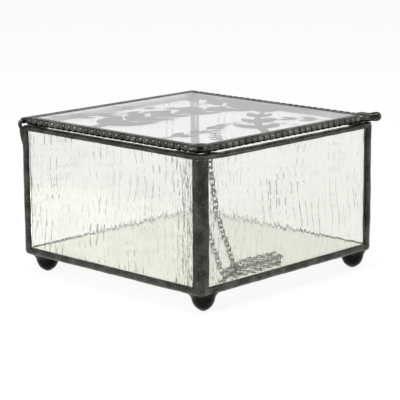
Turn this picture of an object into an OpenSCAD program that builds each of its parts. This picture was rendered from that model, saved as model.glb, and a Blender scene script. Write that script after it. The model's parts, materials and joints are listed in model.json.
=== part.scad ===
// Keepsake box of glass panes joined with soldered copper foil: streaky side panes, a mirror
// floor, four drop feet, and a clear glass lid with a beaded-wire edge, a solder lift knob,
// a tube hinge and a fine chain that stops the lid.
// +Z is up, the front is -Y, the left is -X. The origin is centred under the box on the table.

/* [Box] */
// Width over the solder, left to right
box_w = 103.6; // [80:0.1:160]
// Depth over the solder, front to back
box_d = 103.6; // [80:0.1:160]
// Height of the sides, underside to the top of the rim
body_h = 54.1; // [40:0.1:90]

/* [Glass] */
// Thickness of the four side panes
pane_t = 2.4; // [2:0.1:3]
// Thickness of the mirror floor
mirror_t = 2.4; // [2:0.1:3]
// Thickness of the lid's glass
lid_t = 2.4; // [2:0.1:3]
// Solder-filled gap where one glass edge meets a face
glass_gap = 0.3; // [0.2:0.05:0.5]

/* [Solder] */
// How far the solder stands proud of the panes
solder_t = 1.0; // [0.8:0.05:1.2]
// Thickness of the solder under the floor
under_t = 0.4; // [0.3:0.05:0.8]
// Width of a corner seam on each face
post_w = 4.5; // [4:0.1:7]
// Rounding of the outer corners
post_r = 2.6; // [1.4:0.1:2.7]
// Radius of the solder fillet up the inside corners
post_fillet = 0.5; // [0.3:0.1:3]
// Height of the top rim
rim_h = 1.6; // [1.5:0.1:4]
// Solder above the top edges of the panes
rim_cap = 0.6; // [0.4:0.1:1]
// Rounding of the rim's top edges
rim_r = 1.2; // [0.4:0.1:1.4]
// Height of the bottom seam on the sides
base_h = 3.2; // [3:0.1:5]
// Rounding of the bottom edges
base_r = 1.8; // [0.6:0.1:1.9]
// Radius of the solder fillet between the sides and the floor
base_fillet = 0.5; // [0.3:0.1:2.5]
// Width of the seam on the underside of the floor
under_w = 3.0; // [2:0.1:6]

/* [Feet] */
// Diameter of a drop foot where it is widest
foot_d = 8.7; // [6:0.1:11]
// Height of a foot, from the table to the underside of the box
foot_h = 7.15; // [5:0.05:12]
// Radius of the arc from the foot's widest place down to its point
foot_arc = 6.6; // [6:0.1:9]
// Diameter of the worn flat that a foot stands on
foot_flat = 1.9; // [1:0.1:3]
// Distance of a foot's centre in from the faces
foot_inset = 6.55; // [5.5:0.05:9]
// How far the set of feet is off centre, toward the front right
foot_skew = 0.6; // [0:0.1:1]

/* [Lid] */
// Gap between the rim and the underside of the lid
lid_gap = 0.7; // [0.7:0.05:1.5]
// How far the beads stay back from the faces of the box
lid_inset = 1.4; // [0.4:0.1:2]
// Width of the solder border on the lid's glass
border_w = 1.0; // [1:0.1:4]
// Thickness of that border
border_t = 0.4; // [0.2:0.05:0.4]
// Diameter of the beads
bead_d = 3.2; // [2.6:0.1:3.6]
// Diameter of the wire core between the beads
bead_core_d = 2.8; // [1.5:0.1:2.9]
// Spacing of the beads
bead_pitch = 3.5; // [3.3:0.1:4.5]
// Depth of the flat by which the beads sit on the lid's edge
bead_seat = 0.5; // [0.46:0.01:0.8]
// Centre-line radius of the beaded wire round the near corner
bead_bend = 2.5; // [2.4:0.1:4]
// Height of the solder pads that the closed lid rests over
rest_h = 0.6; // [0.3:0.05:1]
// Diameter of those pads
rest_d = 2.5; // [1.5:0.1:3]

/* [Lift knob] */
// Diameter of the knob
knob_d = 3.9; // [2.5:0.1:3.9]
// Length from the corner of the beading to the tip
knob_len = 7.3; // [6:0.1:14]
// Upward tilt of the knob, in degrees
knob_rise = 4.6; // [0:0.1:12]
// Diameter of the solder ball under the knob's root
blob_d = 4.0; // [4:0.1:5]

/* [Hinge] */
// Outer diameter of the tube on the lid
tube_d = 2.6; // [2.4:0.1:3.2]
// Diameter of the rod
rod_d = 1.6; // [1:0.05:2]
// Clearance between the rod and the tube's bore, on the diameter
rod_play = 0.1; // [0.06:0.01:0.16]
// How far the axis is behind the back face (less than 0 is inside it)
hinge_back = -0.3; // [-0.5:0.05:1.5]
// How far the tube stops short of the side faces
tube_short = 1.5; // [0.6:0.1:6]
// How far the rod's legs stand out from the side faces
leg_out = 0.6; // [0.6:0.05:2]
// How far a leg leans in toward its foot
leg_lean = 0.5; // [0:0.1:0.6]
// Height of the leg's foot below the rim
leg_drop = 5.5; // [4:0.1:12]
// Radius of the bend in the rod, to its centre line
rod_bend = 1.6; // [1.2:0.1:3]
// Diameter of the solder that holds a leg to its corner
tack_d = 3.1; // [2.6:0.1:4]
// Height of that solder
tack_h = 4.9; // [3.6:0.1:6]

/* [Chain] */
// Length of a link
link_len = 3.6; // [3:0.1:5]
// Width of a link
link_w = 2.3; // [2:0.1:3]
// Wire of a link
link_wire = 0.5; // [0.4:0.05:0.6]
// Radius of the two end rings, to the wire's centre
ring_r = 1.15; // [1:0.05:1.5]
// Wire of the end rings
ring_wire = 0.4; // [0.3:0.05:0.6]

/* [Hidden] */

$fn = 48;
eps = 0.01;      // overlap of joined pieces of one solid, and reach of cuts
over = 1;        // reach of a cut past the face it opens

// heights
z_under = foot_h;
z_pane = z_under + under_t;
z_floor = z_pane + mirror_t;
z_rim = z_under + body_h;
z_pane_top = z_rim - rim_cap;
z_seam_top = z_rim - rim_h;
z_base_top = z_under + base_h;
lid_z0 = z_rim + lid_gap;
lid_h = lid_t + 2 * border_t;
z_axis = lid_z0 + lid_h / 2;

// half sizes across the box: outside of the solder, outer and inner face of the panes
hw = box_w / 2;
hd = box_d / 2;
pw = hw - solder_t;
pd = hd - solder_t;
iw = pw - pane_t;
id = pd - pane_t;

// the lid's edges: centre line of the beads, outside of the border, glass
bw = hw - lid_inset - bead_d / 2;
bd = hd - lid_inset - bead_d / 2;
ew = bw - bead_d / 2 + bead_seat;
ed = bd - bead_d / 2 + bead_seat;
y_axis = hd + hinge_back;
border_gap = 0.15;   // between the border's back edge and the tube, filled by the back seam
eb = y_axis - tube_d / 2 - border_gap;
seat_clear = 0.1;    // between the rests and the beading
edge_clear = 0.02;   // between the beading and the border's edge
ring_pad = 2.4;      // side of the solder pad that holds the chain's ring under the lid

module at_corner(fx, fy) { mirror([fx > 0 ? 0 : 1, 0, 0]) mirror([0, fy > 0 ? 0 : 1, 0]) children(); }

// outline of the box seen from above, corners rounded
module plan() {
    square([2 * hw - 2 * post_r, 2 * hd], center = true);
    square([2 * hw, 2 * hd - 2 * post_r], center = true);
    for (x = [-1, 1], y = [-1, 1])
        translate([x * (hw - post_r), y * (hd - post_r)]) circle(r = post_r);
}

// ---------------------------------------------------------------- glass
module pane(w, t, h) { color([0.88, 0.9, 0.88, 0.5]) translate([-w / 2, 0, 0]) cube([w, t, h]); }
module front_pane() { translate([0, -pd, z_pane]) pane(2 * pw, pane_t, z_pane_top - z_pane); }
module back_pane() { translate([0, id, z_pane]) pane(2 * pw, pane_t, z_pane_top - z_pane); }
module side_pane() {
    rotate([0, 0, 90]) translate([0, -pw, z_pane])
        pane(2 * (id - glass_gap), pane_t, z_pane_top - z_pane);
}
module right_pane() { side_pane(); }
module left_pane() { mirror([1, 0, 0]) side_pane(); }
module mirror_floor() {
    color("lightsteelblue") translate([-(iw - glass_gap), -(id - glass_gap), z_pane])
        cube([2 * (iw - glass_gap), 2 * (id - glass_gap), mirror_t]);
}

// ---------------------------------------------------------------- solder of the box
// L-shaped seam round one outer corner, drawn with the corner at [hw, hd]
module corner_profile() {
    end_r = solder_t;
    difference() {
        union() {
            translate([hw - post_w + end_r, pd]) square([post_w - end_r - post_r + eps, solder_t]);
            translate([pw, hd - post_w + end_r]) square([solder_t, post_w - end_r - post_r + eps]);
            translate([hw - post_r, hd - post_r]) circle(r = post_r);
            intersection() {
                translate([hw - post_w + end_r, pd]) circle(r = end_r);
                translate([hw - post_w, pd]) square([end_r + eps, end_r]);
            }
            intersection() {
                translate([pw, hd - post_w + end_r]) circle(r = end_r);
                translate([pw, hd - post_w]) square([end_r, end_r + eps]);
            }
        }
        square([pw, pd]);
    }
}
// quarter-round solder up the inside corner, and the seam between the two glass edges
module corner_inside() {
    intersection() {
        translate([iw, id]) circle(r = post_fillet);
        translate([iw - post_fillet, id - post_fillet]) square([post_fillet, post_fillet]);
    }
}
module corner_seam() {
    color([0.33, 0.31, 0.29]) union() {
        translate([0, 0, z_base_top]) linear_extrude(z_seam_top - z_base_top) corner_profile();
        translate([iw - eps, id - glass_gap, z_pane])
            cube([pane_t + 2 * eps, glass_gap, z_pane_top - z_pane]);
        translate([0, 0, z_floor]) linear_extrude(z_seam_top - z_floor) corner_inside();
    }
}
module corner_seam_fl() { at_corner(-1, -1) corner_seam(); }
module corner_seam_fr() { at_corner(1, -1) corner_seam(); }
module corner_seam_bl() { at_corner(-1, 1) corner_seam(); }
module corner_seam_br() { at_corner(1, 1) corner_seam(); }

// one mitred side of a frame round the box: half length a, half depth b across the other way
module mitred(a, b) {
    intersection() {
        rotate([90, 0, 90]) translate([0, 0, -a - over]) linear_extrude(2 * a + 2 * over) children();
        translate([0, 0, -over]) linear_extrude(z_rim + 2 * over)
            polygon([[0, b - a], [a, b], [-a, b]]);
    }
}
// rim over the top edge of a pane, profile with the outer face at b
module rim_profile(b) {
    out = b;
    in = b - 2 * solder_t - pane_t;
    difference() {
        union() {
            translate([in, z_seam_top]) square([out - in, rim_h - rim_r]);
            translate([in + rim_r, z_seam_top]) square([out - in - 2 * rim_r, rim_h]);
            for (x = [in + rim_r, out - rim_r]) translate([x, z_rim - rim_r]) circle(r = rim_r);
        }
        translate([in + solder_t, z_seam_top - over]) square([pane_t, rim_h - rim_cap + over]);
        translate([in - over, z_seam_top - over]) square([out - in + 2 * over, over]);
    }
}
// keeps what lies inside the plan, turned with the side that is being made
module round_plan(turn) {
    intersection() {
        children();
        rotate(turn) linear_extrude(z_rim + over) plan();
    }
}
module rim(a, b) { color([0.36, 0.34, 0.31]) mitred(a, b) rim_profile(b); }
module rim_back() { round_plan(0) rim(hw, hd); }
module rim_front() { mirror([0, 1, 0]) round_plan(0) rim(hw, hd); }
module rim_left() { rotate([0, 0, 90]) round_plan(90) rim(hd, hw); }
module rim_right() { rotate([0, 0, -90]) round_plan(90) rim(hd, hw); }

// seam round the bottom: outside strip, underside strip, fillet on the mirror
module base_profile(b) {
    gl = b - solder_t;
    inner = gl - pane_t;
    end_r = solder_t;
    difference() {
        union() {
            translate([gl, z_under + base_r]) square([solder_t, max(base_h - base_r - end_r, eps)]);
            intersection() {
                translate([gl, z_base_top - end_r]) circle(r = end_r);
                translate([gl, z_base_top - end_r - eps]) square([end_r, end_r + eps]);
            }
            translate([b - base_r, z_under + base_r]) circle(r = base_r);
            translate([inner - glass_gap - under_w, z_under])
                square([b - base_r - inner + glass_gap + under_w, under_t]);
        }
        translate([inner, z_pane]) square([pane_t, base_h]);
    }
    translate([inner - glass_gap, z_pane - eps]) square([glass_gap, mirror_t + 2 * eps]);
    intersection() {
        translate([inner, z_floor]) circle(r = base_fillet);
        translate([inner - base_fillet, z_floor]) square([base_fillet, base_fillet]);
    }
}
module base_seam(a, b) {
    color([0.3, 0.28, 0.26]) difference() {
        mitred(a, b) base_profile(b);
        // clear of the solder up the inside corners
        for (x = [-1, 1]) translate([x * (a - solder_t - pane_t), b - solder_t - pane_t, z_floor])
            cylinder(r = post_fillet, h = post_fillet + base_fillet);
        // clear of the solder between the glass edges of the corners
        for (x = [-1, 1])
            translate([x * (a - solder_t - pane_t / 2), b - solder_t - pane_t - glass_gap / 2, z_floor])
                cube([pane_t + 2 * glass_gap, glass_gap, 2 * mirror_t], center = true);
    }
}
module base_seam_back() { round_plan(0) base_seam(hw, hd); }
module base_seam_front() { mirror([0, 1, 0]) round_plan(0) base_seam(hw, hd); }
module base_seam_left() { rotate([0, 0, 90]) round_plan(90) base_seam(hd, hw); }
module base_seam_right() { rotate([0, 0, -90]) round_plan(90) base_seam(hd, hw); }

// ---------------------------------------------------------------- feet
// A foot is a drop of solder: its side is an arc about [foot_off, foot_wide] that is cut short
// at the flat, in straight steps, and upright above the widest place.
foot_off = foot_d / 2 - foot_arc;
foot_wide = sqrt(pow(foot_arc, 2) - pow(foot_flat / 2 - foot_off, 2));
foot_steps = 7;
foot_start = asin((foot_flat / 2 - foot_off) / foot_arc);
function foot_side(turn) = [foot_off + foot_arc * sin(turn), foot_wide - foot_arc * cos(turn)];
module foot(x, y) {
    color([0.36, 0.34, 0.32]) translate([x * (hw - foot_inset) + foot_skew,
                                         y * (hd - foot_inset) - foot_skew, 0])
        intersection() {
            rotate_extrude() polygon(concat(
                [[0, 0]],
                [for (k = [0 : foot_steps]) foot_side(foot_start + (90 - foot_start) * k / foot_steps)],
                [[foot_d / 2, foot_wide + foot_h], [0, foot_wide + foot_h]]));
            translate([0, 0, z_under / 2]) cube([2 * foot_d, 2 * foot_d, z_under], center = true);
        }
}
module foot_fl() { foot(-1, -1); }
module foot_fr() { foot(1, -1); }
module foot_bl() { foot(-1, 1); }
module foot_br() { foot(1, 1); }

// ---------------------------------------------------------------- rests under the lid
module lid_rest(s) {
    color([0.38, 0.36, 0.33]) translate([s * (hw - solder_t - pane_t / 2), -(hd - solder_t - pane_t / 2),
                                         z_rim]) cylinder(d = rest_d, h = rest_h);
}
module lid_rest_left() { lid_rest(-1); }
module lid_rest_right() { lid_rest(1); }

// ---------------------------------------------------------------- hinge
leg_x = hw + leg_out;
leg_z = z_rim - leg_drop;
leg_turn = atan2(leg_lean, z_axis - leg_z);
bend_steps = 3;      // straight steps round each bend of the rod
knuckle = 0.06;      // how much thicker the rod is where it bends
bend_x = leg_x - rod_bend;
// centre line of the right half of the rod from its bend down, as [x, z] from the axis
leg_path = concat(
    [for (k = [0 : bend_steps]) let (a = 90 - (90 + leg_turn) * k / bend_steps)
        [bend_x + rod_bend * cos(a), rod_bend * (sin(a) - 1)]],
    [[bend_x + rod_bend * cos(leg_turn) - leg_lean, leg_z - z_axis]]
);
module rod_leg() {
    for (i = [0 : bend_steps]) {
        a = leg_path[i];
        d = leg_path[i + 1] - a;
        translate([a[0], 0, a[1]]) {
            sphere(d = rod_d + knuckle);
            rotate([0, atan2(d[0], d[1]), 0]) cylinder(d = rod_d, h = norm(d));
        }
    }
}
module rod_shape() {
    translate([0, y_axis, z_axis]) {
        translate([-bend_x, 0, 0]) rotate([0, 90, 0]) cylinder(d = rod_d, h = 2 * bend_x);
        rod_leg();
        mirror([1, 0, 0]) rod_leg();
    }
}
module hinge_rod() { color([0.5, 0.42, 0.33]) union() { rod_shape(); } }
// the solder that tacks a leg to its corner
tack_in = 0.6;       // how far the tack's axis is outside the corner of the glass
module hinge_tack_right() {
    color([0.4, 0.38, 0.35]) difference() {
        translate([pw + tack_in, pd + tack_in, z_seam_top - eps - tack_h + tack_d / 2]) union() {
            sphere(d = tack_d);
            cylinder(d = tack_d, h = tack_h - tack_d);
            translate([0, 0, tack_h - tack_d]) sphere(d = tack_d);
        }
        translate([0, 0, z_under]) linear_extrude(z_rim) plan();
        rod_shape();
    }
}
module hinge_tack_left() { mirror([1, 0, 0]) hinge_tack_right(); }
module hinge_tube() {
    color([0.45, 0.4, 0.34]) translate([-(hw - tube_short), y_axis, z_axis]) rotate([0, 90, 0])
        difference() {
            cylinder(d = tube_d, h = 2 * (hw - tube_short));
            translate([0, 0, -over]) cylinder(d = rod_d + rod_play, h = 2 * (hw - tube_short) + 2 * over);
        }
}

// ---------------------------------------------------------------- lid
module lid_block(grow) {
    translate([-ew - grow, -ed - grow, lid_z0 - grow])
        cube([2 * (ew + grow), ed + eb + 2 * grow, lid_h + 2 * grow]);
}
module lid_plate() { lid_block(-border_t); }
module lid_glass() { color([0.9, 0.92, 0.9, 0.4]) lid_plate(); }
module lid_border() {
    frame = border_t + border_w;
    color([0.34, 0.33, 0.31]) union() {
        difference() {
            lid_block(0);
            lid_plate();
            translate([-ew + frame, -ed + frame, lid_z0 - over])
                cube([2 * (ew - frame), ed + eb - 2 * frame, lid_h + 2 * over]);
        }
        // pad under the glass for the chain's ring
        translate([lid_ring[0] - ring_pad / 2, -ed + frame - eps, lid_z0])
            cube([ring_pad, lid_ring[1] + ed - frame + ring_pad / 2 + eps, border_t]);
    }
}
// flat by which the beading meets the lid's edge
module edge_cut() {
    translate([-ew - edge_clear, -ed - edge_clear, lid_z0 - over])
        cube([2 * (ew + edge_clear), ed + y_axis, lid_h + 2 * over]);
}
// from the end of the bend to the first bead, which stays clear of the end itself
first_bead = max(bead_pitch - bead_bend * PI / 4, bead_d / 2 + eps);
// straight beading along +X from the end of the near corner's bend
module bead_run(length, last) {
    n = round((length - first_bead - last) / bead_pitch);
    step = (length - first_bead - last) / n;
    rotate([0, 90, 0]) cylinder(d = bead_core_d, h = length);
    for (i = [0 : n]) translate([first_bead + i * step, 0, 0]) sphere(d = bead_d);
}
module corner_ball() { translate([bw, -bd, z_axis]) sphere(d = blob_d); }
blob_side = 3.4;     // from the last front or right bead to the centre of the corner's solder
module beads_front() {
    color([0.37, 0.36, 0.34]) difference() {
        translate([-bw + bead_bend, -bd, z_axis]) bead_run(2 * bw - bead_bend, blob_side);
        edge_cut();
        corner_ball();
    }
}
back_end = 2.1;      // from the end of the side beading to its last bead
side_len = eb + bd - bead_bend;
module beads_left() {
    color([0.37, 0.36, 0.34]) mirror([1, 0, 0]) difference() {
        translate([bw, -bd + bead_bend, z_axis]) rotate([0, 0, 90]) bead_run(side_len, back_end);
        edge_cut();
    }
}
module beads_right() {
    n = round((eb + bd - blob_side - back_end) / bead_pitch);
    step = (eb + bd - blob_side - back_end) / n;
    color([0.37, 0.36, 0.34]) difference() {
        translate([bw, -bd, z_axis]) rotate([0, 0, 90]) {
            rotate([0, 90, 0]) cylinder(d = bead_core_d, h = eb + bd);
            for (i = [0 : n]) translate([blob_side + i * step, 0, 0]) sphere(d = bead_d);
        }
        edge_cut();
        corner_ball();
    }
}
// the beading bent round the near corner, one bead in the middle of the bend
module bead_corner() {
    color([0.37, 0.36, 0.34]) difference() {
        translate([-bw + bead_bend, -bd + bead_bend, z_axis]) rotate([0, 0, 180]) {
            rotate_extrude(angle = 90) translate([bead_bend, 0]) circle(d = bead_core_d);
            rotate([0, 0, 45]) translate([bead_bend, 0, 0]) sphere(d = bead_d);
        }
        edge_cut();
    }
}
// flat on the underside of the front right corner, over its rest
module over_rest() {
    translate([hw - solder_t - pane_t / 2, -(hd - solder_t - pane_t / 2), z_rim])
        cylinder(d = 2 * rest_d, h = rest_h + seat_clear);
}
module lid_blob() {
    color([0.4, 0.38, 0.35]) difference() {
        corner_ball();
        edge_cut();
        over_rest();
    }
}
module lift_knob() {
    color([0.42, 0.4, 0.36]) difference() {
        translate([bw, -bd, z_axis]) rotate([0, 0, -45]) rotate([0, -knob_rise, 0]) {
            rotate([0, 90, 0]) cylinder(d = knob_d, h = knob_len - knob_d / 2);
            translate([knob_len - knob_d / 2, 0, 0]) sphere(d = knob_d);
        }
        edge_cut();
        corner_ball();
        over_rest();
    }
}
// solder between the lid's back edge and the tube
seam_top = 1.2;      // half height of the back seam
module lid_back_seam() {
    color([0.36, 0.34, 0.31]) difference() {
        translate([-ew, eb, z_axis - seam_top])
            cube([2 * ew, y_axis - eb - tube_d / 4, 2 * seam_top]);
        translate([-hw, y_axis, z_axis]) rotate([0, 90, 0]) cylinder(d = tube_d, h = 2 * hw);
    }
}

// ---------------------------------------------------------------- chain
// The fine chain hangs from a ring on the front rim and from a ring under the lid, both in the
// front left corner, and its slack lies on the mirror in two rows. Points are measured from
// the front left inner corner of the rim, and up from the floor, the rim or the lid.
corner = [-(iw - solder_t), -(id - solder_t)];
function at_floor(p) = [corner[0] + p[0], corner[1] + p[1], z_floor + p[2]];
box_ring = [corner[0] + 2.2, corner[1] + 1.3, z_rim - 1.4];
lid_ring = [corner[0] + 5.2, corner[1] + 1.6, lid_z0 - 1.1];
lie = 1.3;                                  // height of a lying link's centre over the floor
box_knee = at_floor([5.0, 3.0, 23.3]);
box_foot = at_floor([16.8, 6.0, lie]);
lid_knee = at_floor([12.0, 4.2, 26.3]);
lid_foot = at_floor([25.4, 7.0, lie]);
front_bend = at_floor([40.4, 6.8, lie]);
front_turn = at_floor([53.0, 7.5, lie]);
rear_turn = at_floor([53.0, 12.4, lie]);
rear_bend = at_floor([34.0, 12.9, lie]);
max_pitch = link_len - 2 * link_wire - 0.02;
hook_in = 0.3;                              // a run starts with a link this far back
ring_in = ring_r;                           // and from a ring's centre this far on
run_gap = 0.6;                              // extra length where the two ends meet
box_ring_turn = -4;                         // turn of a ring about the vertical
lid_ring_turn = -12;
ring_roll = 35;                             // turn of a first link in its ring
ring_twist = -1.5;                          // and its fading from link to link

module half_ring(r) {
    rotate([0, 0, -90]) rotate_extrude(angle = 180, $fn = 24) translate([r, 0]) circle(d = link_wire);
}
module link() {
    r = (link_w - link_wire) / 2;
    s = (link_len - link_w) / 2;
    color([0.45, 0.4, 0.33]) union() {
        translate([s, 0, 0]) half_ring(r);
        mirror([1, 0, 0]) translate([s, 0, 0]) half_ring(r);
        for (y = [-r, r]) translate([-s, y, 0]) rotate([0, 90, 0])
            cylinder(d = link_wire, h = 2 * s, $fn = 24);
    }
}
function run_length(a, b, start, end) = norm(b - a) - start + end;
function run_links(a, b, start, end) = ceil(run_length(a, b, start, end) / max_pitch);
// links from a to b: each one turned a quarter from the last
module chain_run(a, b, roll, start, end, extra, twist) {
    d = b - a;
    n = run_links(a, b, start, end);
    pitch = run_length(a, b, start, end) / n;
    translate(a) rotate([0, -asin(d[2] / norm(d)), atan2(d[1], d[0])])
        for (i = [0 : n - 1]) translate([start - hook_in + pitch * (i + 0.5), 0, 0])
            rotate([roll + 90 * i + extra + twist * i, 0, 0]) link();
}
function quarter(n) = n % 2 == 0 ? 0 : 90;
roll_a = 90 + quarter(run_links(lid_ring, lid_knee, ring_in, 0));
roll_b = roll_a + quarter(run_links(lid_knee, lid_foot, 0, 0));
roll_c = roll_b + quarter(run_links(lid_foot, front_bend, 0, 0));
roll_d = roll_c + quarter(run_links(front_bend, front_turn, 0, 0));
roll_e = roll_d + quarter(run_links(front_turn, rear_turn, 0, 0));
roll_f = roll_e + quarter(run_links(rear_turn, rear_bend, 0, 0));
module chain_box_drop() { chain_run(box_ring, box_knee, 90, ring_in, 0, ring_roll, ring_twist); }
module chain_box_foot() {
    chain_run(box_knee, box_foot, 90 + quarter(run_links(box_ring, box_knee, ring_in, 0)), 0, 0, 0, 0);
}
module chain_lid_drop() { chain_run(lid_ring, lid_knee, 90, ring_in, 0, ring_roll, ring_twist); }
module chain_lid_foot() { chain_run(lid_knee, lid_foot, roll_a, 0, 0, 0, 0); }
module chain_row_front_a() { chain_run(lid_foot, front_bend, roll_b, 0, 0, 0, 0); }
module chain_row_front_b() { chain_run(front_bend, front_turn, roll_c, 0, 0, 0, 0); }
module chain_turn() { chain_run(front_turn, rear_turn, roll_d, 0, 0, 0, 0); }
module chain_row_rear_a() { chain_run(rear_turn, rear_bend, roll_e, 0, 0, 0, 0); }
module chain_row_rear_b() { chain_run(rear_bend, box_foot, roll_f, 0, run_gap, 0, 0); }

module end_ring(turn) {
    rotate([0, 0, turn]) rotate([0, 90, 0]) rotate_extrude() translate([ring_r, 0]) circle(d = ring_wire);
}
// the rings are soldered flat to the rim's inner face and to the lid's border
module chain_ring_box() {
    color([0.45, 0.4, 0.33]) difference() {
        translate(box_ring) end_ring(box_ring_turn);
        translate([-hw, -hd, z_seam_top - over]) cube([2 * hw, hd + corner[1], rim_h + 2 * over]);
    }
}
module chain_ring_lid() {
    color([0.45, 0.4, 0.33]) difference() {
        translate(lid_ring) end_ring(lid_ring_turn);
        lid_block(0);
    }
}

front_pane();
back_pane();
left_pane();
right_pane();
mirror_floor();
corner_seam_fl();
corner_seam_fr();
corner_seam_bl();
corner_seam_br();
rim_front();
rim_back();
rim_left();
rim_right();
base_seam_front();
base_seam_back();
base_seam_left();
base_seam_right();
foot_fl();
foot_fr();
foot_bl();
foot_br();
lid_rest_left();
lid_rest_right();
hinge_rod();
hinge_tack_left();
hinge_tack_right();
chain_ring_box();
lid_glass();
lid_border();
beads_front();
beads_left();
beads_right();
bead_corner();
lid_blob();
lift_knob();
hinge_tube();
lid_back_seam();
chain_ring_lid();
chain_box_drop();
chain_box_foot();
chain_lid_drop();
chain_lid_foot();
chain_row_front_a();
chain_row_front_b();
chain_turn();
chain_row_rear_a();
chain_row_rear_b();
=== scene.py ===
"""Looks of the soldered glass keepsake box.

Four streaky side panes and a mirror floor in dark solder, a clear lid with a printed spray of
leaves, beaded wire round three sides of the lid, feet that are drops of solder, a rod hinge
and a fine chain. Lengths of shapes are written in millimetres and become metres where a mesh
is made; lengths in the shaders are in metres.
"""

import json
import math

import bmesh
import bpy
import numpy as np
from mathutils import Matrix, Vector


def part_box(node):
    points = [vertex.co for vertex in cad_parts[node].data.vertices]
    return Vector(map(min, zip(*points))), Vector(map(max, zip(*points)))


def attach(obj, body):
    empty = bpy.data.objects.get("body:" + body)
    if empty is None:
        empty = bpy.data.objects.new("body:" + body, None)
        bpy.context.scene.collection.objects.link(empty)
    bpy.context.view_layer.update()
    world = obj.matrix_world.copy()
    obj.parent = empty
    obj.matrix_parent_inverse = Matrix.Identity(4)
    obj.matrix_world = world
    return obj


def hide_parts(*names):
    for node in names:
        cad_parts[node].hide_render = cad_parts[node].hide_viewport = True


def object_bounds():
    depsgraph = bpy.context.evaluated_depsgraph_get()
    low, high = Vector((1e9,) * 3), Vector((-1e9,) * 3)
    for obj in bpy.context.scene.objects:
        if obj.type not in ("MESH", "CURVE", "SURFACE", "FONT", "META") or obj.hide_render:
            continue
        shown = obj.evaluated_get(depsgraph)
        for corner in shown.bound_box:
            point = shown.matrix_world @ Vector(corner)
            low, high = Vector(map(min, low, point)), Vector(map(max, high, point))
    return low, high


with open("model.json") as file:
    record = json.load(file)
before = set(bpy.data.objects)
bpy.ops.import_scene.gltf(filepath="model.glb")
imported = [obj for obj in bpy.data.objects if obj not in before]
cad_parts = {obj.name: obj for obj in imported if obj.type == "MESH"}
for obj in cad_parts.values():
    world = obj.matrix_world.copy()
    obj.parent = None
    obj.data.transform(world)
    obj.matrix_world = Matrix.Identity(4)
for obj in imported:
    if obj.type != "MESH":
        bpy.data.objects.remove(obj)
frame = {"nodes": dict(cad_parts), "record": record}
cad_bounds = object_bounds()
scene = bpy.context.scene
MM = 0.001


def corners(node):
    """Lowest and highest corner of a CAD node, in millimetres."""
    low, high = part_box(node)
    return np.array(low) / MM, np.array(high) / MM


# ------------------------------------------------------------------ measures of the CAD parts
HALF = corners("corner_seam_fr")[1][0]                  # half the box over the solder
OUTER = corners("front_pane")[1][0]                     # outer and inner face of the panes
INNER = -corners("front_pane")[1][1]
SKIN = HALF - OUTER                                     # how far the solder stands proud
ROUND = 2.6                                             # rounding of the box's upright corners
BITE = 0.02                                             # how far solder reaches into the glass
rim_low, rim_high = corners("rim_front")
RIM_LOW, RIM_TOP = rim_low[2], rim_high[2]              # underside and top of the rim
RIM_LIMIT = 61.88                                       # highest place of the rim, under the lid
base_low, base_high = corners("base_seam_front")
UNDER = base_low[2]                                     # underside of the box
BASE_TOP = UNDER + 3.2                                  # end of the base seams on the panes
BASE_DEPTH = HALF + base_high[1]                        # from a face to the seam's end under the floor
MIRROR_TOP = corners("mirror_floor")[1][2]
tube_low, tube_high = corners("hinge_tube")
AXIS_Y, AXIS_Z = (tube_low[1:] + tube_high[1:]) / 2      # the hinge's axis
lid_low, lid_high = corners("lid_glass")
beads_low, beads_high = corners("beads_front")
BEAD = (beads_high[2] - beads_low[2]) / 2               # radius of a bead; the wire lies at AXIS_Z
BEAD_LINE = corners("beads_right")[1][0] - BEAD         # from the middle to the wire's centre line
CORNER = np.array([BEAD_LINE, beads_low[1] + BEAD, AXIS_Z])     # front right end of that line
SEAT = corners("lid_border")[1][0]                      # where the wire is flat against the lid
TOP = cad_bounds[1][2] / MM - 0.02                      # highest place of the lid's solder


# ------------------------------------------------------------------ camera
# The view is set by where it looks, how far off it stands, its turn, its height and its tilt.
LOOK_AT = np.array([0.0, 0.0, 29.44])
DISTANCE = 701.0
TURN, HEIGHT, TILT = math.radians(-45.9), math.radians(12.25), math.radians(-0.41)
# back points from the box to the camera; side and up lie across it, and the tilt turns them
back = np.array([math.sin(TURN) * math.cos(HEIGHT), -math.cos(TURN) * math.cos(HEIGHT), math.sin(HEIGHT)])
side = np.array([math.cos(TURN), math.sin(TURN), 0.0])
up = np.cross(back, side)
right_dir = math.cos(TILT) * side + math.sin(TILT) * up
up_dir = -math.sin(TILT) * side + math.cos(TILT) * up
camera = bpy.data.objects.new("camera", bpy.data.cameras.new("camera"))
scene.collection.objects.link(camera)
camera.data.sensor_width = 36.0
camera.data.lens = 151.3
camera.data.shift_x = 0.00575
camera.data.clip_start, camera.data.clip_end = 0.05, 20.0
place = np.eye(4)
place[:3, 0], place[:3, 1], place[:3, 2] = right_dir, up_dir, back
place[:3, 3] = (LOOK_AT + DISTANCE * back) * MM
camera.matrix_world = Matrix(place.tolist())
scene.camera = camera


# ------------------------------------------------------------------ shader helpers
def add(tree, kind, inputs=None, **settings):
    """Adds a node; inputs are values, or output sockets to link, by socket name or number."""
    node = tree.nodes.new(kind)
    for name, value in settings.items():
        setattr(node, name, value)
    for name, value in (inputs or {}).items():
        socket = node.inputs[name]
        if isinstance(value, bpy.types.NodeSocket):
            tree.links.new(value, socket)
        else:
            socket.default_value = value
    return node


def math_node(tree, operation, a, b=0.0, c=0.0, clamp=False):
    """The result of one Math node."""
    return add(tree, "ShaderNodeMath", {0: a, 1: b, 2: c}, operation=operation, use_clamp=clamp).outputs[0]


def spread(tree, value, low, high, to_low=0.0, to_high=1.0):
    """value moved from low..high to to_low..to_high, held at the ends."""
    return add(tree, "ShaderNodeMapRange", {"Value": value, "From Min": low, "From Max": high,
                                            "To Min": to_low, "To Max": to_high}).outputs[0]


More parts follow.
